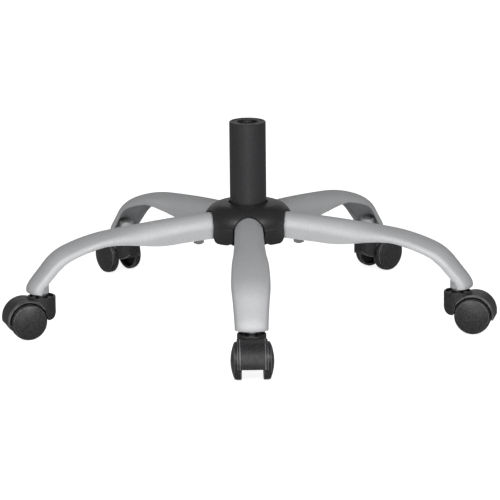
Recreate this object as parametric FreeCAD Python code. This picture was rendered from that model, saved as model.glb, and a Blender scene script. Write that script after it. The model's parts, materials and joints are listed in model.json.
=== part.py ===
"""Five-star castor base with a gas-lift column.

Frame: millimetres, +Z up. The origin is on the column axis at floor level, and the first leg points
along -Y. One leg and one castor are modelled along +X and turned into place.
"""
import FreeCAD
import Part
import math
import os

Vector = FreeCAD.Vector
ORIGIN = Vector(0, 0, 0)
UP = Vector(0, 0, 1)
SIDEWAYS = Vector(0, 1, 0)

# Star
LEG_COUNT = 5
FIRST_LEG_ANGLE = -90.0

# Clearances
RUNNING_GAP = 0.06          # radial, shafts that turn or slide in a bore
HAND_GAP = 0.3              # between pieces that only lie near each other
ARM_GAP = 0.5               # hub arm inside its leg
BOLT_HOLE_GAP = 0.25        # radial, round a stud

# Castor wheel, on an axle along Y
WHEEL_R = 25.0
WHEEL_INNER_Y = 14.2        # inner face, from the castor's middle plane
TREAD_OUTER_Y = 19.0
DOME_TOP_Y = 28.4
DOME_EDGE_Y = 24.0
DOME_EDGE_R = 22.8
GROOVE_WIDTH = 1.2
GROOVE_DEPTH = 1.0
TREAD_EDGE_R = 0.8          # rounding of the tread's inner edge
WHEEL_WALL = 2.4
WHEEL_BOSS_R = 6.5
AXLE_R = 3.0
AXLE_HALF_LENGTH = 25.0

# Castor hood
CASTOR_TRAIL = 23.0
FENDER_INNER_R = 26.3       # about the axle
FENDER_OUTER_R = 28.4
FENDER_HALF_WIDTH = 20.0
FENDER_BORDER_WIDTH = 2.9   # lowered strip along both edges
FENDER_BORDER_DROP = 0.5
FENDER_END_ANGLE = -11.0    # below the horizontal, at the outer end
FENDER_START_ANGLE = 150.0  # inside the housing
HOUSING_R = 19.2
HOUSING_HEIGHT = 55.0       # rim above the floor
HOUSING_STRAIGHT = 20.0     # height of the housing's straight back
ARCH_BACK_ANGLE = 180.0     # end of the wheel arch under the housing
RIM_WIDTH = 2.6
RIM_ROUND = 1.2
RECESS_DEPTH = 2.5
WEB_HALF_WIDTH = 4.5
WEB_BACK_ANGLE = 150.0
WEB_FRONT_ANGLE = 30.0
WEB_FOOT_ANGLE = 45.0       # below the horizontal, where the web meets the boss
HOOD_BOSS_R = 7.0
HOOD_BOSS_GAP = 0.4         # to the wheel's boss

# Castor stem and its socket in the leg
STEM_R = 5.5
STEM_HEAD_R = 8.0
STEM_HEAD_HEIGHT = 2.6
STEM_HEAD_DEPTH = 17.0      # of the head's seat below the recess
STEM_COLLAR_R = 8.6
STEM_TIP_RISE = 2.2         # above the socket
STEM_TIP_CHAMFER = 1.2
GRIP_RING_WIRE = 1.2
GRIP_RING_DROP = 6.0        # below the socket's top
SOCKET_R = 10.5
SOCKET_WELD_GAP = 0.6       # under the leg's crest, filled by the weld
SOCKET_DROP = 1.5           # below the leg's end

# Leg: an inverted sheet channel. Its crest line is three bends, a straight shin and a toe bend.
LEG_SHEET = 2.0
LEG_END_GAP = 6.3           # above the castor's hood
LEG_ROOT_ANGLE = 1.6
CROWN_BEND_R = 1632.0
CROWN_BEND_ANGLE = 6.0
FALL_BEND_R = 250.7
FALL_BEND_ANGLE = 14.4
KNEE_BEND_R = 74.1
KNEE_BEND_ANGLE = 27.5
SHIN_LENGTH = 30.5
TOE_BEND_R = 24.8
ROOT_WIDTH = 39.0
BELLY_WIDTH = 51.8
TOE_WIDTH = 44.2
ROOT_DEPTH = 32.5
BELLY_DEPTH = 14.9
TOE_DEPTH = 15.5
CASTOR_INSET = 19.9         # castor axis, inside the toe's outer face
ARCH_ANGLE = 30.0            # half angle of the crown arc in a leg's section
ARCH_DEPTH_RATIO = 0.86      # most of the depth that the arch may take
LEG_SECTION_COUNT = 31
WIDEN_SPAN = (0.10, 0.76)   # shares of the crest line where the section changes
NARROW_SPAN = (0.72, 0.98)
RISE_SPAN = (0.27, 0.60)
DEEPEN_SPAN = (0.68, 0.80)

# Hub
SLEEVE_R = 29.0
SLEEVE_HEIGHT = 54.0
SLEEVE_BELOW_COVER = 3.3    # top of the sleeve, below the cover's top
LEG_ROOT_GAP = 2.0          # between the sleeve and a leg
ARM_PAST_STUD = 14.0        # hub arm, beyond its stud
ARM_WALL = 3.0
STUD_RUN = 41.0             # stud's place along the crest
STUD_R = 4.0
STUD_TOP_GAP = 0.8          # under the crest, filled by the weld
STUD_END = 1.4              # past the nut
WASHER_R = 8.0
WASHER_THICKNESS = 1.6
NUT_SIDE_COUNT = 6
NUT_FLATS = 13.0
NUT_HEIGHT = 6.5

# Hub cover
COVER_RISE = 10.1           # above the leg's crest at its root
COVER_HEIGHT = 49.0
COVER_WALL = 2.5
COVER_BORE_GAP = 1.8
COVER_DRUM_R = 60.6
COVER_SHOULDER_R = 25.0
COVER_DECK_DROP = 1.0
COVER_SKIRT_HEIGHT = 21.5
COVER_SKIRT_STEP = 0.5
COVER_SKIRT_FLARE = 1.2
COVER_FOOT_ROUND = 10.0     # lower corners beside each leg
COVER_LEG_GAP = 2.0

# Column tube
COLUMN_R = 25.0
COLUMN_EXPOSED = 109.9      # straight length above the taper
COLUMN_RIM_CHAMFER = 0.8
COLUMN_WALL = 2.4
COLUMN_FLOOR = 3.5
TAPER_ANGLE = 1.43
TAPER_ABOVE_COVER = 1.5
COLUMN_BELOW_SLEEVE = 3.0
BUSH_LENGTH = 72.0
BUSH_BELOW_RIM = 0.4

# Gas cylinder and what it holds
CYLINDER_R = 14.0
CYLINDER_WALL = 2.0
CYLINDER_END = 2.0
SEAT_TAPER_LENGTH = 42.0
STROKE = 110.0
GLAND_LENGTH = 10.0
SEAL_LENGTH = 3.0
VALVE_R = 11.0
VALVE_LENGTH = 15.0
BUTTON_R = 4.0
BUTTON_RISE = 4.0
BUTTON_TRAVEL = 2.5
BUTTON_LENGTH = 13.0
BUTTON_ROUND = 1.0
ROD_R = 5.0
ROD_END_R = 4.0
ROD_FLANGE_R = 9.0
ROD_FLANGE_HEIGHT = 2.5
ROD_BELOW_FLOOR = 4.0
PISTON_LENGTH = 8.0
PISTON_RING_WIDTH = 2.5
PISTON_RING_DEPTH = 2.0
END_PLAY = 1.0
BUMPER_R = 12.5
BUMPER_HEIGHT = 5.0
CLIP_R = 7.0
CLIP_THICKNESS = 1.2
CLIP_SLOT = 4.0

# Thrust bearing under the rod's flange
RACE_R = 11.5
RACE_THICKNESS = 1.6
BALL_R = 1.6
BALL_COUNT = 12
BALL_CIRCLE_R = 8.0
BALL_PLAY = 0.02
CAGE_THICKNESS = 1.6

# Swivel of each castor at rest, anticlockwise from above, from straight out
CASTOR_SWIVELS = [1.0, 5.0, -13.0, -1.0, -0.4]


def outline(start, steps):
    """Closed wire: a point draws a line to it, and a pair of points draws an arc through the first."""
    edges = []
    here = start
    for step in steps:
        if isinstance(step, tuple):
            edges.append(Part.Arc(here, step[0], step[1]).toShape())
            here = step[1]
        else:
            edges.append(Part.makeLine(here, step))
            here = step
    edges.append(Part.makeLine(here, start))
    return Part.Wire(edges)


def turned(start, steps, axis=UP):
    """Solid of revolution of a closed outline."""
    return Part.Face(outline(start, steps)).revolve(ORIGIN, axis, 360)


def rz(radius, height):
    return Vector(radius, 0, height)


def ry(radius, sideways):
    return Vector(radius, sideways, 0)


def ring(outer, inner, low, high):
    """Round ring about Z."""
    return turned(rz(inner, low), [rz(outer, low), rz(outer, high), rz(inner, high)])


def disc(radius, low, high, place=ORIGIN):
    return Part.makeCylinder(radius, high - low, place + UP * low)


def leg_angle(index):
    return FIRST_LEG_ANGLE + index * 360.0 / LEG_COUNT


def on_leg(shape, index):
    return shape.rotated(ORIGIN, UP, leg_angle(index))


def on_castor(shape, index):
    """Carry a shape from a castor's own frame, stem on Z and trail along +X, to its leg."""
    turned_shape = shape.rotated(ORIGIN, UP, CASTOR_SWIVELS[index])
    return on_leg(turned_shape.translated(Vector(CASTOR_CIRCLE_R, 0, 0)), index)


def on_every_leg(shape):
    return Part.makeCompound([on_leg(shape, index) for index in range(LEG_COUNT)])


def ease(share, span):
    """Smooth step from 0 at the span's start to 1 at its end."""
    t = min(max((share - span[0]) / (span[1] - span[0]), 0.0), 1.0)
    return t * t * (3.0 - 2.0 * t)


def crest_segments():
    """Length and radius of each stretch of the crest line, from the hub out. No radius is straight."""
    turns = [(CROWN_BEND_R, CROWN_BEND_ANGLE), (FALL_BEND_R, FALL_BEND_ANGLE), (KNEE_BEND_R, KNEE_BEND_ANGLE)]
    bends = [(radius * math.radians(turn), radius) for radius, turn in turns]
    shin_slope = LEG_ROOT_ANGLE + sum(turn for radius, turn in turns)
    toe = (TOE_BEND_R * math.radians(90.0 - shin_slope), TOE_BEND_R)
    return bends + [(SHIN_LENGTH, None), toe]


def crest_point(run):
    """Distance out, drop and slope of the crest line, run along it from the leg's root."""
    out, drop, slope = 0.0, 0.0, math.radians(LEG_ROOT_ANGLE)
    left = run
    for length, radius in crest_segments():
        step = min(left, length)
        if radius is None:
            out += step * math.cos(slope)
            drop += step * math.sin(slope)
        else:
            end = slope + step / radius
            out += radius * (math.sin(end) - math.sin(slope))
            drop += radius * (math.cos(slope) - math.cos(end))
            slope = end
        left -= step
    return out, drop, slope


def under_crest(radius, inset):
    """Height of the line that runs inset below the crest, at a radius from the column's axis."""
    low, high = 0.0, CREST_LENGTH
    for halving in range(40):
        run = (low + high) / 2.0
        out, drop, slope = crest_point(run)
        if LEG_ROOT_R + out - inset * math.sin(slope) < radius:
            low = run
        else:
            high = run
    return LEG_ROOT_Z - drop - inset * math.cos(slope)


CREST_LENGTH = sum(length for length, radius in crest_segments())
TOE_OUT, TOE_DROP = crest_point(CREST_LENGTH)[:2]

# Places that follow from the sizes
LEG_ROOT_R = SLEEVE_R + LEG_ROOT_GAP
CASTOR_CIRCLE_R = LEG_ROOT_R + TOE_OUT - CASTOR_INSET
HOOD_TOP_Z = max(WHEEL_R + FENDER_OUTER_R, HOUSING_HEIGHT)
LEG_END_Z = HOOD_TOP_Z + LEG_END_GAP
LEG_ROOT_Z = LEG_END_Z + TOE_DROP
RECESS_Z = HOUSING_HEIGHT - RECESS_DEPTH
SOCKET_LOW_Z = LEG_END_Z - SOCKET_DROP
SOCKET_TOP_Z = under_crest(CASTOR_CIRCLE_R + SOCKET_R, LEG_SHEET + SOCKET_WELD_GAP)
STEM_SEAT_Z = RECESS_Z - STEM_HEAD_DEPTH
COVER_TOP_Z = LEG_ROOT_Z + COVER_RISE
COVER_RIM_Z = COVER_TOP_Z - COVER_HEIGHT
SLEEVE_TOP_Z = COVER_TOP_Z - SLEEVE_BELOW_COVER
SLEEVE_LOW_Z = SLEEVE_TOP_Z - SLEEVE_HEIGHT
TAPER_TOP_Z = COVER_TOP_Z + TAPER_ABOVE_COVER
COLUMN_TOP_Z = TAPER_TOP_Z + COLUMN_EXPOSED + COLUMN_RIM_CHAMFER
COLUMN_LOW_Z = SLEEVE_LOW_Z - COLUMN_BELOW_SLEEVE
COLUMN_FLOOR_Z = COLUMN_LOW_Z + COLUMN_FLOOR
COLUMN_BORE_R = COLUMN_R - (TAPER_TOP_Z - COLUMN_LOW_Z) * math.tan(math.radians(TAPER_ANGLE)) - COLUMN_WALL
BALL_LOW_Z = COLUMN_FLOOR_Z + RACE_THICKNESS + BALL_PLAY
UPPER_RACE_Z = BALL_LOW_Z + 2 * BALL_R + BALL_PLAY
FLANGE_Z = UPPER_RACE_Z + RACE_THICKNESS
BUMPER_Z = FLANGE_Z + ROD_FLANGE_HEIGHT
CYLINDER_LOW_Z = BUMPER_Z + BUMPER_HEIGHT + HAND_GAP
SEAL_Z = CYLINDER_LOW_Z + CYLINDER_END
GLAND_Z = SEAL_Z + SEAL_LENGTH
CHAMBER_LOW_Z = GLAND_Z + GLAND_LENGTH
PISTON_LOW_Z = CHAMBER_LOW_Z + STROKE + END_PLAY
VALVE_LOW_Z = PISTON_LOW_Z + PISTON_LENGTH + END_PLAY
CYLINDER_TOP_Z = VALVE_LOW_Z + VALVE_LENGTH
CYLINDER_BORE_R = CYLINDER_R - CYLINDER_WALL
BUTTON_TOP_Z = CYLINDER_TOP_Z + BUTTON_RISE
BUTTON_LOW_Z = BUTTON_TOP_Z - BUTTON_LENGTH


def taper_radius(height):
    """Radius of the column's seat in the hub."""
    return COLUMN_R - (TAPER_TOP_Z - height) * math.tan(math.radians(TAPER_ANGLE))


def leg_width(share):
    belly = ROOT_WIDTH + (BELLY_WIDTH - ROOT_WIDTH) * ease(share, WIDEN_SPAN)
    return belly + (TOE_WIDTH - BELLY_WIDTH) * ease(share, NARROW_SPAN)


def leg_depth(share):
    belly = ROOT_DEPTH + (BELLY_DEPTH - ROOT_DEPTH) * ease(share, RISE_SPAN)
    return belly + (TOE_DEPTH - BELLY_DEPTH) * ease(share, DEEPEN_SPAN)


def arch_points(run, inset, deeper=0.0):
    """Nine points of a leg's section from foot to foot: lines, shoulder arcs and a crown arc."""
    share = run / CREST_LENGTH
    half = leg_width(share) / 2.0
    depth = leg_depth(share)
    rise = min(half, ARCH_DEPTH_RATIO * depth)
    turn = math.radians(ARCH_ANGLE)
    excess = (half - rise) / (math.cos(turn) + math.sin(turn) - 1.0)
    crown_r = half + excess * (1.0 - math.sin(turn))
    shoulder_r = crown_r - excess
    middle = (turn + math.pi / 2.0) / 2.0

    def shoulder(angle):
        reach = shoulder_r - inset
        return half - shoulder_r + reach * math.sin(angle), rise - reach * math.cos(angle)

    right = [(half - inset, depth + deeper), (half - inset, rise), shoulder(middle), shoulder(turn)]
    left = [(-across, down) for across, down in reversed(right)]
    out, drop, slope = crest_point(run)
    crest = Vector(LEG_ROOT_R + out, 0, LEG_ROOT_Z - drop)
    square = Vector(-math.sin(slope), 0, -math.cos(slope))
    return [crest + SIDEWAYS * across + square * down for across, down in right + [(0.0, inset)] + left]


def arch_steps(p):
    """Steps along an arch after its first point."""
    return [p[1], (p[2], p[3]), (p[4], p[5]), (p[6], p[7]), p[8]]


def channel_section(run):
    outer = arch_points(run, 0.0)
    inner = list(reversed(arch_points(run, LEG_SHEET)))
    return outline(outer[0], arch_steps(outer) + [inner[0]] + arch_steps(inner))


def arch_bar(first_run, last_run, inset, deeper=0.0):
    """Solid bar with a leg's section, closed below, between two places on the crest line."""
    sections = []
    for run in (first_run, last_run):
        points = arch_points(run, inset, deeper)
        sections.append(outline(points[0], arch_steps(points)))
    return Part.makeLoft(sections, True, True)


def leg():
    runs = [CREST_LENGTH * index / (LEG_SECTION_COUNT - 1) for index in range(LEG_SECTION_COUNT)]
    return Part.makeLoft([channel_section(run) for run in runs], True)


def stud_place():
    out, drop, slope = crest_point(STUD_RUN)
    return Vector(LEG_ROOT_R + out, 0, 0), LEG_ROOT_Z - drop


def arm_floor_z():
    """Underside of a hub arm at its stud."""
    return stud_place()[1] - ROOT_DEPTH


def hub_arm():
    reach = STUD_RUN + ARM_PAST_STUD
    inset = LEG_SHEET + ARM_GAP
    block = arch_bar(-LEG_ROOT_R, reach, inset)
    hollow = arch_bar(-LEG_ROOT_R, reach + ARM_WALL, inset + ARM_WALL)
    floor_z = arm_floor_z()
    out, drop, slope = crest_point(reach + ARM_WALL)
    size = Vector(2 * (LEG_ROOT_R + out), ROOT_WIDTH, ROOT_DEPTH)
    below = Part.makeBox(size.x, 2 * size.y, size.z, Vector(0, -size.y, floor_z + ARM_WALL - size.z))
    under = Part.makeBox(size.x, 2 * size.y, size.z, Vector(0, -size.y, floor_z - size.z))
    arm = block.cut(hollow.cut(below)).cut(under)
    place = stud_place()[0]
    hole = disc(STUD_R + BOLT_HOLE_GAP, floor_z - ARM_WALL, LEG_ROOT_Z, place)
    return arm.cut(hole).cut(disc(SLEEVE_R, SLEEVE_LOW_Z, LEG_ROOT_Z))


def leg_stud():
    place, crest_z = stud_place()
    low = arm_floor_z() - WASHER_THICKNESS - NUT_HEIGHT - STUD_END
    return disc(STUD_R, low, crest_z - LEG_SHEET - STUD_TOP_GAP, place)


def leg_washer():
    high = arm_floor_z()
    washer = ring(WASHER_R, STUD_R + BOLT_HOLE_GAP, high - WASHER_THICKNESS, high)
    return washer.translated(stud_place()[0])


def leg_nut():
    high = arm_floor_z() - WASHER_THICKNESS
    step = 2 * math.pi / NUT_SIDE_COUNT
    corner_r = NUT_FLATS / 2 / math.cos(step / 2)
    corners = [Vector(corner_r * math.cos(step * index), corner_r * math.sin(step * index), high - NUT_HEIGHT)
               for index in range(NUT_SIDE_COUNT)]
    hexagon = Part.Face(outline(corners[0], corners[1:])).extrude(UP * NUT_HEIGHT)
    nut = hexagon.cut(disc(STUD_R, high - 2 * NUT_HEIGHT, high + NUT_HEIGHT))
    return nut.translated(stud_place()[0])


def hub_sleeve():
    low, high = SLEEVE_LOW_Z, SLEEVE_TOP_Z
    return turned(rz(taper_radius(low), low), [
        rz(SLEEVE_R, low), rz(SLEEVE_R, high), rz(taper_radius(high), high)])


def cover_half_profile(inset):
    """Outer line of the cover, or its inner line when inset, from the bore to the rim."""
    deck_r = COVER_DRUM_R - COVER_SHOULDER_R
    deck_z = COVER_TOP_Z - COVER_DECK_DROP
    shoulder_r = COVER_SHOULDER_R - inset
    centre_z = deck_z - COVER_SHOULDER_R
    diagonal = shoulder_r * math.sqrt(0.5)
    seam_z = COVER_RIM_Z + COVER_SKIRT_HEIGHT
    return [
        rz(COLUMN_R + COVER_BORE_GAP, COVER_TOP_Z - inset),
        rz(deck_r, centre_z + shoulder_r),
        rz(deck_r + diagonal, centre_z + diagonal),
        rz(deck_r + shoulder_r, centre_z),
        rz(deck_r + shoulder_r, seam_z),
        rz(deck_r + shoulder_r + COVER_SKIRT_STEP, seam_z - COVER_SKIRT_STEP),
        rz(deck_r + shoulder_r + COVER_SKIRT_STEP + COVER_SKIRT_FLARE, COVER_RIM_Z),
    ]


def cover_foot():
    """Flare below a leg's arch, which rounds the cover's lower corners on both sides."""
    side = ROOT_WIDTH / 2.0 + COVER_LEG_GAP
    size = COVER_FOOT_ROUND
    middle = size * (1.0 - math.sqrt(0.5))

    def corner(across, up):
        return Vector(0, across, COVER_RIM_Z + up)

    flare = outline(corner(-side - size, 0), [
        (corner(-side - middle, middle), corner(-side, size)), corner(side, size),
        (corner(side + middle, middle), corner(side + size, 0))])
    return Part.Face(flare).extrude(Vector(2 * COVER_DRUM_R, 0, 0))


def hub_cover():
    o = cover_half_profile(0.0)
    i = cover_half_profile(COVER_WALL)
    outer = [o[1], (o[2], o[3]), o[4], o[5], o[6]]
    inner = [i[6], i[5], i[4], i[3], (i[2], i[1]), i[0]]
    cover = turned(o[0], outer + inner)
    arch = arch_bar(0.0, COVER_DRUM_R, -COVER_LEG_GAP, COVER_HEIGHT)
    foot = cover_foot()
    for index in range(LEG_COUNT):
        cover = cover.cut(on_leg(arch, index)).cut(on_leg(foot, index))
    return cover


def castor_socket():
    tube = ring(SOCKET_R, STEM_R + RUNNING_GAP, SOCKET_LOW_Z, SOCKET_TOP_Z)
    return tube.translated(Vector(CASTOR_CIRCLE_R, 0, 0))


def castor_stem():
    seat, tip = STEM_SEAT_Z, SOCKET_TOP_Z + STEM_TIP_RISE
    groove_z = SOCKET_TOP_Z - GRIP_RING_DROP
    groove_r = STEM_R - GRIP_RING_WIRE
    stem = turned(rz(0, seat - STEM_HEAD_HEIGHT), [
        rz(STEM_HEAD_R - HAND_GAP, seat - STEM_HEAD_HEIGHT),
        rz(STEM_HEAD_R - HAND_GAP, seat - HAND_GAP),
        rz(STEM_R, seat - HAND_GAP),
        rz(STEM_R, RECESS_Z + HAND_GAP),
        rz(STEM_COLLAR_R, RECESS_Z + HAND_GAP),
        rz(STEM_COLLAR_R, SOCKET_LOW_Z),
        rz(STEM_R, SOCKET_LOW_Z),
        rz(STEM_R, groove_z),
        rz(groove_r, groove_z),
        rz(groove_r, groove_z + GRIP_RING_WIRE),
        rz(STEM_R, groove_z + GRIP_RING_WIRE),
        rz(STEM_R, tip - STEM_TIP_CHAMFER),
        rz(STEM_R - STEM_TIP_CHAMFER, tip),
        rz(0, tip),
    ])
    return stem.translated(Vector(CASTOR_CIRCLE_R, 0, 0))


def stem_grip_ring():
    low = SOCKET_TOP_Z - GRIP_RING_DROP
    band = ring(STEM_R, STEM_R - GRIP_RING_WIRE, low, low + GRIP_RING_WIRE)
    corner = Vector(0, -GRIP_RING_WIRE / 2, low - GRIP_RING_WIRE)
    slot = Part.makeBox(2 * STEM_R, GRIP_RING_WIRE, 3 * GRIP_RING_WIRE, corner)
    return band.cut(slot).translated(Vector(CASTOR_CIRCLE_R, 0, 0))


def axle_line(shape):
    """Move a shape turned about the Y axis to the castor's axle."""
    return shape.translated(Vector(CASTOR_TRAIL, 0, WHEEL_R))


def on_axle(radius, angle, sideways=0.0):
    """Point at a radius and angle about the axle, in a castor's own frame."""
    turn = math.radians(angle)
    return Vector(CASTOR_TRAIL + radius * math.cos(turn), sideways, WHEEL_R + radius * math.sin(turn))


def fender():
    """Curved roof over the wheels, with a lowered strip along both edges."""
    wide = FENDER_HALF_WIDTH
    panel = wide - FENDER_BORDER_WIDTH
    low = FENDER_OUTER_R - FENDER_BORDER_DROP
    start = on_axle(FENDER_INNER_R, FENDER_END_ANGLE, -wide)
    steps = [on_axle(low, FENDER_END_ANGLE, -wide), on_axle(low, FENDER_END_ANGLE, -panel),
             on_axle(FENDER_OUTER_R, FENDER_END_ANGLE, -panel + FENDER_BORDER_DROP),
             on_axle(FENDER_OUTER_R, FENDER_END_ANGLE, panel - FENDER_BORDER_DROP),
             on_axle(low, FENDER_END_ANGLE, panel), on_axle(low, FENDER_END_ANGLE, wide),
             on_axle(FENDER_INNER_R, FENDER_END_ANGLE, wide)]
    sweep = FENDER_START_ANGLE - FENDER_END_ANGLE
    return Part.Face(outline(start, steps)).revolve(on_axle(0, 0), -SIDEWAYS, sweep)


def hood_housing():
    """Round housing of the stem, cut to its side view: straight back, round chin and wheel arch."""
    rim_r = HOUSING_R - RIM_ROUND
    corner = RIM_ROUND * math.sqrt(0.5)
    high = HOUSING_HEIGHT
    drum = turned(rz(0, 0), [rz(HOUSING_R, 0), rz(HOUSING_R, high - RIM_ROUND),
                             (rz(rim_r + corner, high - RIM_ROUND + corner), rz(rim_r, high)), rz(0, high)])
    chin_z = high - HOUSING_STRAIGHT
    arch_back = on_axle(FENDER_INNER_R, ARCH_BACK_ANGLE)
    arch_middle = on_axle(FENDER_INNER_R, (ARCH_BACK_ANGLE + 90.0) / 2)
    back = Vector(-HOUSING_R, 0, chin_z)
    belly = Vector((3 * back.x + arch_back.x) / 4, 0, (back.z + 3 * arch_back.z) / 4)
    side = outline(Vector(-HOUSING_R, 0, high), [
        back, (belly, arch_back), (arch_middle, on_axle(FENDER_INNER_R, 90.0)),
        on_axle(FENDER_INNER_R + HOUSING_HEIGHT, 90.0)])
    slab = Part.Face(side).extrude(SIDEWAYS * 2 * HOUSING_R).translated(-SIDEWAYS * HOUSING_R)
    return drum.common(slab)


def castor_hood():
    boss_half = WHEEL_INNER_Y - HOOD_BOSS_GAP
    boss = Part.makeCylinder(HOOD_BOSS_R, 2 * boss_half, on_axle(0, 0, -boss_half), SIDEWAYS)
    web_r = (FENDER_INNER_R + FENDER_OUTER_R) / 2.0
    side = -WEB_HALF_WIDTH
    web_outline = outline(on_axle(web_r, WEB_BACK_ANGLE, side), [
        (on_axle(web_r, 90.0, side), on_axle(web_r, WEB_FRONT_ANGLE, side)),
        on_axle(HOOD_BOSS_R, -WEB_FOOT_ANGLE, side),
        on_axle(HOOD_BOSS_R, 180.0 + WEB_FOOT_ANGLE, side)])
    web = Part.Face(web_outline).extrude(SIDEWAYS * 2 * WEB_HALF_WIDTH)
    hood = hood_housing().fuse([fender(), web, boss]).removeSplitter()
    recess = disc(HOUSING_R - RIM_WIDTH, RECESS_Z, HOOD_TOP_Z + RECESS_DEPTH)
    bore = disc(STEM_R + RUNNING_GAP, 0, HOUSING_HEIGHT)
    head_room = disc(STEM_HEAD_R, 0, STEM_SEAT_Z)
    axle_hole = Part.makeCylinder(AXLE_R, 2 * boss_half, on_axle(0, 0, -boss_half), SIDEWAYS)
    return hood.cut(recess).cut(bore).cut(head_room).cut(axle_hole)


def castor_axle():
    return Part.makeCylinder(AXLE_R, 2 * AXLE_HALF_LENGTH, on_axle(0, 0, -AXLE_HALF_LENGTH), SIDEWAYS)


def dome_r():
    """Radius of the wheel's domed outer face."""
    sag = DOME_TOP_Y - DOME_EDGE_Y
    return (DOME_EDGE_R ** 2 + sag ** 2) / (2.0 * sag)


def dome_y(radius, inset=0.0):
    """Sideways place of the dome, or of its inner face when inset, at a radius."""
    size = dome_r() - inset
    return DOME_TOP_Y - dome_r() + math.sqrt(size ** 2 - radius ** 2)


def castor_wheel():
    """Cup-shaped wheel on the +Y side, open towards the hood."""
    groove_y = DOME_EDGE_Y - GROOVE_DEPTH
    groove_r = DOME_EDGE_R + GROOVE_WIDTH
    half_r = DOME_EDGE_R / 2.0
    rim_r = groove_r - WHEEL_WALL
    lip_y = DOME_EDGE_Y - GROOVE_DEPTH / 2
    fall, reach = WHEEL_R - groove_r, lip_y - TREAD_OUTER_Y
    round_r = (fall ** 2 + reach ** 2) / (2.0 * fall)
    turn = math.atan2(reach, round_r - fall) / 2.0
    shoulder = ry(WHEEL_R - round_r + round_r * math.cos(turn), TREAD_OUTER_Y + round_r * math.sin(turn))
    bore_end = AXLE_HALF_LENGTH + HAND_GAP
    cup_mid = (WHEEL_BOSS_R + rim_r) / 2.0
    wheel = turned(ry(0, DOME_TOP_Y), [
        (ry(half_r, dome_y(half_r)), ry(DOME_EDGE_R, DOME_EDGE_Y)),
        ry(DOME_EDGE_R, groove_y),
        ry(groove_r, groove_y),
        ry(groove_r, lip_y),
        (shoulder, ry(WHEEL_R, TREAD_OUTER_Y)),
        ry(WHEEL_R, WHEEL_INNER_Y + TREAD_EDGE_R),
        ry(WHEEL_R - TREAD_EDGE_R, WHEEL_INNER_Y),
        ry(rim_r, WHEEL_INNER_Y),
        ry(rim_r, dome_y(rim_r, WHEEL_WALL)),
        (ry(cup_mid, dome_y(cup_mid, WHEEL_WALL)), ry(WHEEL_BOSS_R, dome_y(WHEEL_BOSS_R, WHEEL_WALL))),
        ry(WHEEL_BOSS_R, WHEEL_INNER_Y),
        ry(AXLE_R + RUNNING_GAP, WHEEL_INNER_Y),
        ry(AXLE_R + RUNNING_GAP, bore_end),
        ry(0, bore_end),
    ], SIDEWAYS)
    return axle_line(wheel)


def column_tube():
    low, high = COLUMN_LOW_Z, COLUMN_TOP_Z
    rim_r = COLUMN_R - COLUMN_RIM_CHAMFER
    return turned(rz(ROD_END_R + RUNNING_GAP, low), [
        rz(taper_radius(low), low), rz(COLUMN_R, TAPER_TOP_Z), rz(COLUMN_R, high - COLUMN_RIM_CHAMFER),
        rz(rim_r, high), rz(COLUMN_BORE_R, high), rz(COLUMN_BORE_R, COLUMN_FLOOR_Z),
        rz(ROD_END_R + RUNNING_GAP, COLUMN_FLOOR_Z)])


def guide_bush():
    high = COLUMN_TOP_Z - BUSH_BELOW_RIM
    return ring(COLUMN_BORE_R, CYLINDER_R + RUNNING_GAP, high - BUSH_LENGTH, high)


def gas_cylinder():
    """Shell with a tapered head for the seat, open at the top for the valve."""
    low, high = CYLINDER_LOW_Z, CYLINDER_TOP_Z
    head_r = CYLINDER_R - SEAT_TAPER_LENGTH * math.tan(math.radians(TAPER_ANGLE))
    return turned(rz(ROD_R + HAND_GAP, low), [
        rz(CYLINDER_R, low), rz(CYLINDER_R, high - SEAT_TAPER_LENGTH), rz(head_r, high), rz(VALVE_R, high),
        rz(VALVE_R, VALVE_LOW_Z), rz(CYLINDER_BORE_R, VALVE_LOW_Z), rz(CYLINDER_BORE_R, low + CYLINDER_END),
        rz(ROD_R + HAND_GAP, low + CYLINDER_END)])


def valve_block():
    block = disc(VALVE_R, VALVE_LOW_Z, CYLINDER_TOP_Z)
    low = BUTTON_LOW_Z - BUTTON_TRAVEL - HAND_GAP
    return block.cut(disc(BUTTON_R + RUNNING_GAP, low, CYLINDER_TOP_Z))


def release_button():
    high = BUTTON_TOP_Z
    flat_r = BUTTON_R - BUTTON_ROUND
    corner = BUTTON_ROUND * math.sqrt(0.5)
    edge = (rz(flat_r + corner, high - BUTTON_ROUND + corner), rz(flat_r, high))
    return turned(rz(0, BUTTON_LOW_Z), [
        rz(BUTTON_R, BUTTON_LOW_Z), rz(BUTTON_R, high - BUTTON_ROUND), edge, rz(0, high)])


def piston_rod():
    low = COLUMN_LOW_Z - ROD_BELOW_FLOOR
    slot_z = COLUMN_LOW_Z - HAND_GAP - CLIP_THICKNESS
    slot_r = ROD_END_R - CLIP_THICKNESS
    return turned(rz(0, low), [
        rz(ROD_END_R, low), rz(ROD_END_R, slot_z), rz(slot_r, slot_z), rz(slot_r, slot_z + CLIP_THICKNESS),
        rz(ROD_END_R, slot_z + CLIP_THICKNESS), rz(ROD_END_R, FLANGE_Z), rz(ROD_FLANGE_R, FLANGE_Z),
        rz(ROD_FLANGE_R, BUMPER_Z), rz(ROD_R, BUMPER_Z), rz(ROD_R, PISTON_LOW_Z),
        rz(ROD_END_R, PISTON_LOW_Z), rz(ROD_END_R, PISTON_LOW_Z + PISTON_LENGTH),
        rz(0, PISTON_LOW_Z + PISTON_LENGTH)])


def piston_parts():
    """Piston and the ring in its groove."""
    bore_r = CYLINDER_BORE_R - RUNNING_GAP
    low, high = PISTON_LOW_Z, PISTON_LOW_Z + PISTON_LENGTH
    ring_low = (low + high - PISTON_RING_WIDTH) / 2
    ring_high = ring_low + PISTON_RING_WIDTH
    seal = ring(bore_r, bore_r - PISTON_RING_DEPTH, ring_low, ring_high)
    body = ring(bore_r, ROD_END_R, low, high)
    return body.cut(seal), seal


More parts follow.
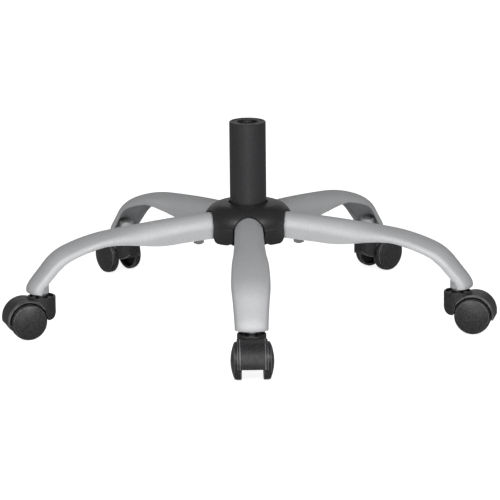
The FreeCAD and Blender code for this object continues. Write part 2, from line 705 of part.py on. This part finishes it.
def rod_clip():
    low = COLUMN_LOW_Z - HAND_GAP - CLIP_THICKNESS
    clip = ring(CLIP_R, ROD_END_R - CLIP_THICKNESS, low, low + CLIP_THICKNESS)
    corner = Vector(0, -CLIP_SLOT / 2, low - CLIP_THICKNESS)
    return clip.cut(Part.makeBox(CLIP_R, CLIP_SLOT, 3 * CLIP_THICKNESS, corner))


def ball_places():
    first = Vector(BALL_CIRCLE_R, 0, BALL_LOW_Z + BALL_R)
    turn = FreeCAD.Rotation(UP, 360.0 / BALL_COUNT)
    places = [first]
    for index in range(1, BALL_COUNT):
        places.append(turn.multVec(places[-1]))
    return places


def bearing_cage():
    middle = BALL_LOW_Z + BALL_R
    cage = ring(RACE_R, ROD_END_R + HAND_GAP, middle - CAGE_THICKNESS / 2, middle + CAGE_THICKNESS / 2)
    pocket_r = BALL_R + RUNNING_GAP
    for place in ball_places():
        cage = cage.cut(Part.makeCylinder(pocket_r, 2 * CAGE_THICKNESS, place - UP * CAGE_THICKNESS))
    return cage


def base_nodes():
    one_leg = leg()
    nodes = {"leg_%d" % (index + 1): on_leg(one_leg, index) for index in range(LEG_COUNT)}
    nodes["castor_sockets"] = on_every_leg(castor_socket())
    nodes["castor_stems"] = on_every_leg(castor_stem())
    nodes["stem_grip_rings"] = on_every_leg(stem_grip_ring())
    nodes["hub_sleeve"] = hub_sleeve()
    nodes["hub_arms"] = on_every_leg(hub_arm())
    nodes["leg_studs"] = on_every_leg(leg_stud())
    nodes["leg_washers"] = on_every_leg(leg_washer())
    nodes["leg_nuts"] = on_every_leg(leg_nut())
    nodes["hub_cover"] = hub_cover()
    nodes["column_tube"] = column_tube()
    nodes["guide_bush"] = guide_bush()
    race_top_z = COLUMN_FLOOR_Z + RACE_THICKNESS
    nodes["bearing_lower_race"] = ring(RACE_R, ROD_END_R + HAND_GAP, COLUMN_FLOOR_Z, race_top_z)
    return nodes


def column_nodes():
    nodes = {"piston_rod": piston_rod(), "rod_clip": rod_clip()}
    nodes["piston"], nodes["piston_seal"] = piston_parts()
    nodes["bump_stop"] = ring(BUMPER_R, ROD_R, BUMPER_Z, BUMPER_Z + BUMPER_HEIGHT)
    nodes["bearing_upper_race"] = ring(RACE_R, ROD_END_R, UPPER_RACE_Z, FLANGE_Z)
    nodes["bearing_cage"] = bearing_cage()
    nodes["bearing_balls"] = Part.makeCompound([Part.makeSphere(BALL_R, place) for place in ball_places()])
    nodes["gas_cylinder"] = gas_cylinder()
    nodes["rod_seal"] = ring(CYLINDER_BORE_R, ROD_R + RUNNING_GAP, SEAL_Z, GLAND_Z)
    nodes["rod_gland"] = ring(CYLINDER_BORE_R, ROD_R + RUNNING_GAP, GLAND_Z, CHAMBER_LOW_Z)
    nodes["valve_block"] = valve_block()
    nodes["release_button"] = release_button()
    return nodes


def castor_nodes():
    hood, axle, wheel = castor_hood(), castor_axle(), castor_wheel()
    other_wheel = wheel.mirror(ORIGIN, SIDEWAYS)
    nodes = {}
    for index in range(LEG_COUNT):
        name = "castor_%d_" % (index + 1)
        nodes[name + "hood"] = on_castor(hood, index)
        nodes[name + "axle"] = on_castor(axle, index)
        nodes[name + "wheel_left"] = on_castor(wheel, index)
        nodes[name + "wheel_right"] = on_castor(other_wheel, index)
    return nodes


os.makedirs("parts", exist_ok=True)
for nodes in (base_nodes(), column_nodes(), castor_nodes()):
    for name, shape in nodes.items():
        shape.exportStep("parts/%s.step" % name)
        print(name, "valid" if shape.isValid() else "INVALID", len(shape.Solids), round(shape.Volume, 1))
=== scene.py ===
import json
import math

import bmesh
import bpy
from mathutils import Matrix, Vector
from mathutils.kdtree import KDTree

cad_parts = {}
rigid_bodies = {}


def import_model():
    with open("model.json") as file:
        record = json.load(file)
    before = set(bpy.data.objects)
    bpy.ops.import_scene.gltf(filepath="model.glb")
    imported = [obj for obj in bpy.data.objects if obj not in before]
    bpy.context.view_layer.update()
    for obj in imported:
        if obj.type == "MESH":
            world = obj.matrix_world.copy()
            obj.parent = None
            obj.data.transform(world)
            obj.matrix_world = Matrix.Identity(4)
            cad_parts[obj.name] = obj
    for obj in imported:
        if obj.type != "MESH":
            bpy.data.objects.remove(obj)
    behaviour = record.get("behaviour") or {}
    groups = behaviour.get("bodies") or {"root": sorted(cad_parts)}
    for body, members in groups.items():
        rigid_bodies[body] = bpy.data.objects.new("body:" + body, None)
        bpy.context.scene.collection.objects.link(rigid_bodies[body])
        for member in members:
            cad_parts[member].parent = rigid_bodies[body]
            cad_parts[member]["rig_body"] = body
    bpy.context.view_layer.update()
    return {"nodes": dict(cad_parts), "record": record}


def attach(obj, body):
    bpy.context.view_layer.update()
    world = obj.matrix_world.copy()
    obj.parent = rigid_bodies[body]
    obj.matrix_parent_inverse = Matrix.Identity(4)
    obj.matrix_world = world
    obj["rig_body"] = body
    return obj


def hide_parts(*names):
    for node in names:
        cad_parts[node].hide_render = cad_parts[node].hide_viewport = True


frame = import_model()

MM = 0.001

# The camera, found from the castors, the leg ends and the column: millimetres, degrees, pixels
CAMERA_DISTANCE = 4596.4
CAMERA_HEIGHT = 1243.2
CAMERA_ASIDE = 1.8
CAMERA_HEADING = 0.549
CAMERA_PITCH = 14.061
CAMERA_ROLL = 0.58
FOCAL_LENGTH_PIXELS = 3441.0
PICTURE_PIXELS = 500
SENSOR_WIDTH = 36.0

# The studio: metres and watts
FLOOR_HALF = 15.0
FLOOR_GLOW = 0.85
TABLE_LIGHT = 0.22            # from the white table and backdrop, up to the backdrop's top
CEILING_LIGHT = 0.08          # from the dark room above it
BACKDROP_TOP = (0.2, 0.6)     # height on a unit sphere where one passes into the other
SOFTBOXES = {
    # name: (place, width, height, power)
    "front_left": ((-1.5, -2.8, 1.8), 1.4, 0.9, 52.0),
    "front_right": ((1.5, -2.8, 1.8), 1.4, 0.9, 52.0),
    "front_low": ((0.0, -3.0, 0.3), 1.4, 0.5, 9.0),
    "behind": ((0.0, 3.0, 0.9), 3.0, 0.9, 5.0),
}
SOFTBOX_AIM = Vector((0.0, 0.0, 0.12))

# Rounding of the moulded and pressed edges: millimetres and degrees
LEG_EDGE = 0.5
COVER_EDGE = 0.5
HOOD_EDGE = 0.5
WHEEL_EDGE = 0.35
ROUNDING_SEGMENTS = 2
ROUNDING_TRIES = 6
WELD_DISTANCE = 0.002
FLAT_ANGLE = 0.05             # faces that turn by less than this become one
SHARP_ANGLE = 32.0            # outer edges that turn by more than this are rounded
FOLD_ANGLE = 100.0            # a new edge that turns by more than this is a fold
FOLD_CLEARANCE = 3.0          # least distance from a fold to a rounded edge, in edge radii

# Grain and patches of the finishes: shares of the noise, which runs from 0 to 1
GRAIN_DETAIL = 6.0
GRAIN_ROUGHNESS = 0.75
PATCH_DETAIL = 2.0
GRAIN_RANGE = (0.36, 0.64)    # grain from the dark colour to the light one
GLOSS_RANGE = (0.7, 1.3)      # sum of grain and patches from smooth to rough
# The rubbed edges are worn and also carry a painted highlight.
WEAR_AND_HIGHLIGHT_RANGE = (0.2, 0.65)      # patches from whole to rubbed edges

# Worn edges, which also carry a painted highlight, and painted shade in crevices: millimetres
EDGE_WEAR_AND_HIGHLIGHT = "edge_wear_and_highlight"
CREVICE = 5.0
CREVICE_SAMPLES = 8
PAINTED_SHADE_COLOUR = "#050505"

# Positions of the factor, of both colours and of the result on a Mix node
MIX_FACTOR, MIX_FIRST, MIX_SECOND, MIX_RESULT = 0, 6, 7, 2


def linear(hex_colour):
    """An sRGB hex colour as linear RGBA."""
    channels = [int(hex_colour[i:i + 2], 16) / 255 for i in (1, 3, 5)]
    return [c / 12.92 if c <= 0.04045 else ((c + 0.055) / 1.055) ** 2.4 for c in channels] + [1.0]


def add_node(tree, kind, inputs=None, **settings):
    """Adds a node with its settings. An input takes a value, or an output socket to link."""
    node = tree.nodes.new(kind)
    for name, value in settings.items():
        setattr(node, name, value)
    for name, value in (inputs or {}).items():
        if isinstance(value, bpy.types.NodeSocket):
            tree.links.new(value, node.inputs[name])
        else:
            node.inputs[name].default_value = value
    return node


def new_finish(name, **constants):
    """A material with its constant shader values set, its node tree, its shader and its coordinates."""
    material = bpy.data.materials.new(name)
    material.use_nodes = True
    tree = material.node_tree
    shader = tree.nodes["Principled BSDF"]
    for socket, value in constants.items():
        shader.inputs[socket.replace("_", " ")].default_value = value
    place = add_node(tree, "ShaderNodeTexCoord").outputs["Object"]
    return material, tree, shader, place


def grains_per_metre(size):
    """Texture scale that gives grains of this size in millimetres."""
    return 1.0 / (size * MM)


def grained(name, dark, light, smooth, rough, grain, depth, patch, rubbed_and_highlight=None, **constants):
    """A finish with a fine grain in its height, colour and gloss, and slow patches in its gloss.

    dark and light are its colours, and smooth and rough its roughness limits. grain, depth and patch are
    millimetres. Its rubbed colour is that of its worn edges, and it also paints a highlight along them. A
    near-black mixed in by ambient occlusion paints shade into its crevices.
    """
    material, tree, shader, place = new_finish(name, **constants)
    fine = add_node(tree, "ShaderNodeTexNoise",
                    {"Vector": place, "Scale": grains_per_metre(grain),
                     "Detail": GRAIN_DETAIL, "Roughness": GRAIN_ROUGHNESS})
    slow = add_node(tree, "ShaderNodeTexNoise",
                    {"Vector": place, "Scale": grains_per_metre(patch), "Detail": PATCH_DETAIL})
    tint = add_node(tree, "ShaderNodeMapRange",
                    {"Value": fine.outputs["Fac"], "From Min": GRAIN_RANGE[0], "From Max": GRAIN_RANGE[1]})
    colour = add_node(tree, "ShaderNodeMix", data_type="RGBA", inputs={
        MIX_FACTOR: tint.outputs["Result"], MIX_FIRST: linear(dark), MIX_SECOND: linear(light)})
    # Rubbed colour in patches on the rounded faces: worn edges, and also a painted highlight along them
    if rubbed_and_highlight:
        edge = add_node(tree, "ShaderNodeAttribute", attribute_name=EDGE_WEAR_AND_HIGHLIGHT)
        patchy = add_node(tree, "ShaderNodeMapRange", {
            "Value": slow.outputs["Fac"], "From Min": WEAR_AND_HIGHLIGHT_RANGE[0], "From Max": WEAR_AND_HIGHLIGHT_RANGE[1],
            "To Max": edge.outputs["Fac"]})
        colour = add_node(tree, "ShaderNodeMix", data_type="RGBA", inputs={
            MIX_FACTOR: patchy.outputs["Result"], MIX_FIRST: colour.outputs[MIX_RESULT],
            MIX_SECOND: linear(rubbed_and_highlight)})
    # Painted shade: the colour darkens to near-black where ambient occlusion finds a crevice or gap
    shade = add_node(tree, "ShaderNodeAmbientOcclusion", {"Distance": CREVICE * MM},
                     samples=CREVICE_SAMPLES)
    colour = add_node(tree, "ShaderNodeMix", data_type="RGBA", inputs={
        MIX_FACTOR: shade.outputs["AO"], MIX_FIRST: linear(PAINTED_SHADE_COLOUR),
        MIX_SECOND: colour.outputs[MIX_RESULT]})
    worn = add_node(tree, "ShaderNodeMath", {0: fine.outputs["Fac"], 1: slow.outputs["Fac"]}, operation="ADD")
    gloss = add_node(tree, "ShaderNodeMapRange",
                     {"Value": worn.outputs["Value"], "From Min": GLOSS_RANGE[0], "From Max": GLOSS_RANGE[1],
                      "To Min": smooth, "To Max": rough})
    bump = add_node(tree, "ShaderNodeBump",
                    {"Height": fine.outputs["Fac"], "Strength": 1.0, "Distance": depth * MM})
    tree.links.new(colour.outputs[MIX_RESULT], shader.inputs["Base Color"])
    tree.links.new(gloss.outputs["Result"], shader.inputs["Roughness"])
    tree.links.new(bump.outputs["Normal"], shader.inputs["Normal"])
    return material


def silver_paint():
    """Metallic polyester paint sprayed on pressed steel: aluminium flake gives a bright broken glint.

    The flake is drawn far coarser than its real 0.05 mm, so that its speckle shows in the picture.
    """
    # Its rubbed colour, #eeeeec, is worn paint and also a painted highlight along the rounded lips.
    return grained("metallic_paint_sprayed_on_steel", "#c6c7c9", "#dedfe0", 0.6, 0.72,
                   grain=1.1, depth=0.02, patch=40.0, rubbed_and_highlight="#eeeeec", Metallic=0.45)


def zinc_plate():
    """Barrel zinc plating on steel: bright, a little cloudy, crystalline bloom drawn coarser than real."""
    return grained("zinc_plated_steel", "#dadcdd", "#eeeeec", 0.15, 0.3,
                   grain=1.0, depth=0.01, patch=6.0, Metallic=1.0)


def black_primer():
    """Dipped black primer on mill-scaled steel: matt, with a thin uneven film."""
    return grained("black_primer_on_mill_steel", "#111112", "#1b1b1c", 0.5, 0.7,
                   grain=2.0, depth=0.04, patch=15.0)


def cover_plastic():
    """Injection moulded polypropylene: satin black with a fine spark-eroded grain.

    The grain is drawn at four times its real 0.4 mm, so that it shows in the picture.
    """
    # Its rubbed colour, #3c3c3e, is worn plastic and also a painted highlight along the arch rims.
    return grained("polypropylene_moulded_satin_black", "#1f1f20", "#353537", 0.36, 0.48,
                   grain=1.6, depth=0.03, patch=30.0, rubbed_and_highlight="#3c3c3e", IOR=1.49, Specular_IOR_Level=0.45)


def column_coat():
    """Black powder coat on drawn tube: smooth, with a slight orange peel."""
    return grained("black_powder_coat_on_steel_tube", "#2a2a2c", "#373739", 0.4, 0.5,
                   grain=2.0, depth=0.015, patch=25.0, IOR=1.5)


def bush_plastic():
    """Moulded acetal: waxy dark grey with low gloss, its grain drawn coarse enough to show."""
    return grained("acetal_moulded", "#1d1e1f", "#26272a", 0.4, 0.52,
                   grain=1.2, depth=0.008, patch=12.0, IOR=1.48)


def bearing_steel():
    """Hardened and ground bearing steel: bright with a grinding haze, drawn coarse enough to show."""
    return grained("bearing_steel_ground", "#b9bbbd", "#cccdce", 0.14, 0.26,
                   grain=0.8, depth=0.004, patch=8.0, Metallic=1.0)


def hard_chrome():
    """Hard chrome on a ground rod: mirror bright with a faint polishing haze, drawn coarse enough to show."""
    return grained("hard_chrome_on_ground_steel", "#c9cbcd", "#d8dadc", 0.07, 0.15,
                   grain=1.0, depth=0.002, patch=12.0, Metallic=1.0)


def seal_rubber():
    """Moulded nitrile rubber: dull black with a dusty bloom, drawn coarse enough to show."""
    return grained("nitrile_rubber_moulded", "#0f0f10", "#1a1a1a", 0.65, 0.85,
                   grain=0.9, depth=0.02, patch=8.0, IOR=1.52)


def turned_aluminium():
    """Turned aluminium: pale metal broken up by its tool marks, drawn coarse enough to show."""
    return grained("aluminium_turned", "#b7b9bb", "#d0d2d4", 0.24, 0.4,
                   grain=0.7, depth=0.006, patch=6.0, Metallic=1.0)


def button_plastic():
    """Moulded black nylon: fine matt grain, drawn coarse enough to show."""
    return grained("nylon_moulded_button", "#101011", "#18181a", 0.4, 0.55,
                   grain=0.8, depth=0.01, patch=6.0, IOR=1.53)


def hood_nylon():
    """Glass-filled nylon moulding: dark with a sandy eroded grain that breaks up the light.

    The grain is drawn at four times its real 0.5 mm, so that it shows in the picture.
    """
    # Its rubbed colour, #a0a0a2, is mostly a painted highlight along the rounded edges, partly worn nylon.
    return grained("glass_filled_nylon_moulded_grain", "#09090a", "#3d3d3f", 0.36, 0.5,
                   grain=2.0, depth=0.1, patch=14.0, rubbed_and_highlight="#a0a0a2", IOR=1.53)


def wheel_nylon():
    """Hard nylon wheel moulding: satin and dark, with the hood's sandy grain, drawn as coarse."""
    # Its rubbed colour, #a0a0a2, is mostly a painted highlight along the rim, partly worn nylon.
    return grained("nylon_moulded_wheel", "#111112", "#464648", 0.36, 0.5,
                   grain=2.0, depth=0.1, patch=14.0, rubbed_and_highlight="#a0a0a2", IOR=1.53, Specular_IOR_Level=0.45)


def floor_paper():
    """Matt white studio paper on a lit table, which makes it plain white."""
    return grained("white_studio_paper", "#f4f4f4", "#f8f8f8", 0.8, 0.9, grain=3.0, depth=0.02, patch=400.0,
                   Emission_Color=linear("#ffffff"), Emission_Strength=FLOOR_GLOW)


FINISHES = {
    "leg_paint": silver_paint(),
    "zinc_steel": zinc_plate(),
    "mill_steel": black_primer(),
    "moulded_black": cover_plastic(),
    "column_black": column_coat(),
    "bush_plastic": bush_plastic(),
    "bearing_steel": bearing_steel(),
    "hard_chrome": hard_chrome(),
    "seal_rubber": seal_rubber(),
    "alloy": turned_aluminium(),
    "button_plastic": button_plastic(),
    "castor_nylon": hood_nylon(),
    "wheel_nylon": wheel_nylon(),
}
SLOT_OF = {subpart["node"]: subpart["material_slot"] for subpart in frame["record"]["subparts"]}


def edges_over(mesh, angle):
    """The edges of a mesh whose two faces turn by more than an angle in degrees."""
    return [e for e in mesh.edges if len(e.link_faces) == 2 and e.calc_face_angle() > math.radians(angle)]


def middles(edges):
    """The middle points of edges."""
    return {((e.verts[0].co + e.verts[1].co) / 2).freeze() for e in edges}


def round_corners(mesh, corners, edge):
    """Rounds the edges of a mesh with these numbers to a radius in millimetres, and returns the new faces."""
    mesh.edges.ensure_lookup_table()
    rounded = bmesh.ops.bevel(mesh, geom=[mesh.edges[c] for c in corners], offset=edge * MM,
                              segments=ROUNDING_SEGMENTS, profile=0.5, affect="EDGES", clamp_overlap=False)
    mesh.normal_update()
    return rounded["faces"]


def find_folds(mesh, corners, edge):
    """The places where such a rounding folds over itself, found on a copy of the mesh."""
    trial = mesh.copy()
    round_corners(trial, corners, edge)
    places = middles(edges_over(trial, FOLD_ANGLE)) - middles(edges_over(mesh, FOLD_ANGLE))
    trial.free()
    return sorted(places, key=tuple)


def clear_corners(mesh, corners, folds, clearance):
    """Those of the numbered edges that keep a distance in metres from every fold, all along."""
    tree = KDTree(len(folds))
    for number, place in enumerate(folds):
        tree.insert(place, number)
    tree.balance()
    kept = []
    for number in corners:
        first, last = (v.co for v in mesh.edges[number].verts)
        steps = 2 * math.ceil(mesh.edges[number].calc_length() / clearance)
        if all(tree.find(first.lerp(last, i / steps))[2] > clearance for i in range(steps + 1)):
            kept.append(number)
    return kept


def rounded_mesh(node, edge):
    """A copy of a node's mesh with its outer edges rounded to a radius in millimetres, and marked for wear
    and a painted highlight.

    The rounding is tried first. Edges close to a place where it folds over itself stay sharp.
    """
    mesh = bmesh.new()
    mesh.from_mesh(frame["nodes"][node].data)
    bmesh.ops.remove_doubles(mesh, verts=mesh.verts, dist=WELD_DISTANCE * MM)
    bmesh.ops.dissolve_limit(mesh, angle_limit=math.radians(FLAT_ANGLE), verts=mesh.verts, edges=mesh.edges)
    # This mark on the rounded faces carries both their wear and their painted highlight.
    worn = mesh.faces.layers.float.new(EDGE_WEAR_AND_HIGHLIGHT)
    mesh.edges.index_update()
    mesh.edges.ensure_lookup_table()
    corners = [e.index for e in edges_over(mesh, SHARP_ANGLE) if e.is_convex]
    for attempt in range(ROUNDING_TRIES):
        folds = find_folds(mesh, corners, edge)
        if not folds:
            break
        corners = clear_corners(mesh, corners, folds, FOLD_CLEARANCE * edge * MM)
    for face in round_corners(mesh, corners, edge):
        face[worn] = 1.0
    bmesh.ops.dissolve_degenerate(mesh, dist=WELD_DISTANCE * MM, edges=mesh.edges)
    return mesh


def dressed(node, edge):
    """Makes a piece that stands for a node, with rounded edges and its slot's finish."""
    rounded = rounded_mesh(node, edge)
    data = bpy.data.meshes.new(node + "_finished")
    rounded.to_mesh(data)
    rounded.free()
    data.shade_smooth()
    data.set_sharp_from_angle(angle=math.radians(SHARP_ANGLE))
    piece = bpy.data.objects.new(node + "_finished", data)
    bpy.context.scene.collection.objects.link(piece)
    data.materials.append(FINISHES[SLOT_OF[node]])
    piece.modifiers.new("even_light", "WEIGHTED_NORMAL").keep_sharp = True
    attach(piece, frame["nodes"][node]["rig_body"])
    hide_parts(node)


def edge_of(node):
    """Edge radius of a node in millimetres, or nothing where its own mesh is shown."""
    if node.startswith("leg_") and node[4:].isdigit():
        return LEG_EDGE
    if node == "hub_cover":
        return COVER_EDGE
    if node.endswith("_hood"):
        return HOOD_EDGE
    if "_wheel_" in node:
        return WHEEL_EDGE
    return None


def dress_object():
    """Gives every node its finish, and rounded edges where they show."""
    for node, shown in frame["nodes"].items():
        edge = edge_of(node)
        if edge:
            dressed(node, edge)
        else:
            shown.data.materials.clear()
            shown.data.materials.append(FINISHES[SLOT_OF[node]])


def lay_floor():
    """A pale floor that fills the picture. The room light holds the table's light, so it throws none."""
    data = bpy.data.meshes.new("studio_floor")
    corners = [(-FLOOR_HALF, -FLOOR_HALF, 0), (FLOOR_HALF, -FLOOR_HALF, 0),
               (FLOOR_HALF, FLOOR_HALF, 0), (-FLOOR_HALF, FLOOR_HALF, 0)]
    data.from_pydata(corners, [], [(0, 1, 2, 3)])
    data.materials.append(floor_paper())
    floor = bpy.data.objects.new("studio_floor", data)
    bpy.context.scene.collection.objects.link(floor)
    floor.visible_diffuse = False
    floor.visible_glossy = False


def hang_lights():
    """Large softboxes in front of the object and behind it."""
    for name, (place, width, height, power) in SOFTBOXES.items():
        light = bpy.data.lights.new(name, "AREA")
        light.shape = "RECTANGLE"
        light.size, light.size_y, light.energy = width, height, power
        softbox = bpy.data.objects.new(name, light)
        softbox.location = place
        softbox.rotation_mode = "QUATERNION"
        softbox.rotation_quaternion = (SOFTBOX_AIM - Vector(place)).to_track_quat("-Z", "Y")
        softbox.visible_camera = False
        bpy.context.scene.collection.objects.link(softbox)


def light_room():
    """Light from the white table and backdrop all round, which fades towards the ceiling."""
    world = bpy.data.worlds.new("room")
    world.use_nodes = True
    room = world.node_tree.nodes["Background"]
    room.inputs["Color"].default_value = linear("#ffffff")
    direction = add_node(world.node_tree, "ShaderNodeTexCoord").outputs["Generated"]
    height = add_node(world.node_tree, "ShaderNodeSeparateXYZ", {"Vector": direction}).outputs["Z"]
    fade = add_node(world.node_tree, "ShaderNodeMapRange",
                    {"Value": height, "From Min": BACKDROP_TOP[0], "From Max": BACKDROP_TOP[1],
                     "To Min": TABLE_LIGHT, "To Max": CEILING_LIGHT})
    world.node_tree.links.new(fade.outputs["Result"], room.inputs["Strength"])
    bpy.context.scene.world = world


def place_camera():
    """The photograph's own viewpoint."""
    heading = math.radians(CAMERA_HEADING)
    forward_flat = Vector((math.sin(heading), math.cos(heading), 0))
    aside = Vector((math.cos(heading), -math.sin(heading), 0))
    place = aside * CAMERA_ASIDE - forward_flat * CAMERA_DISTANCE + Vector((0, 0, CAMERA_HEIGHT))
    pitch = math.radians(CAMERA_PITCH)
    forward = forward_flat * math.cos(pitch) - Vector((0, 0, math.sin(pitch)))
    turn = Matrix((aside, aside.cross(forward), -forward)).transposed().to_4x4()
    data = bpy.data.cameras.new("camera")
    data.sensor_width = SENSOR_WIDTH
    data.lens = SENSOR_WIDTH * FOCAL_LENGTH_PIXELS / PICTURE_PIXELS
    camera = bpy.data.objects.new("camera", data)
    camera.matrix_world = (Matrix.Translation(place * MM) @ turn
                           @ Matrix.Rotation(-math.radians(CAMERA_ROLL), 4, "Z"))
    bpy.context.scene.collection.objects.link(camera)
    bpy.context.scene.camera = camera


dress_object()
lay_floor()
hang_lights()
light_room()
place_camera()
bpy.context.scene.view_settings.view_transform = "Standard"
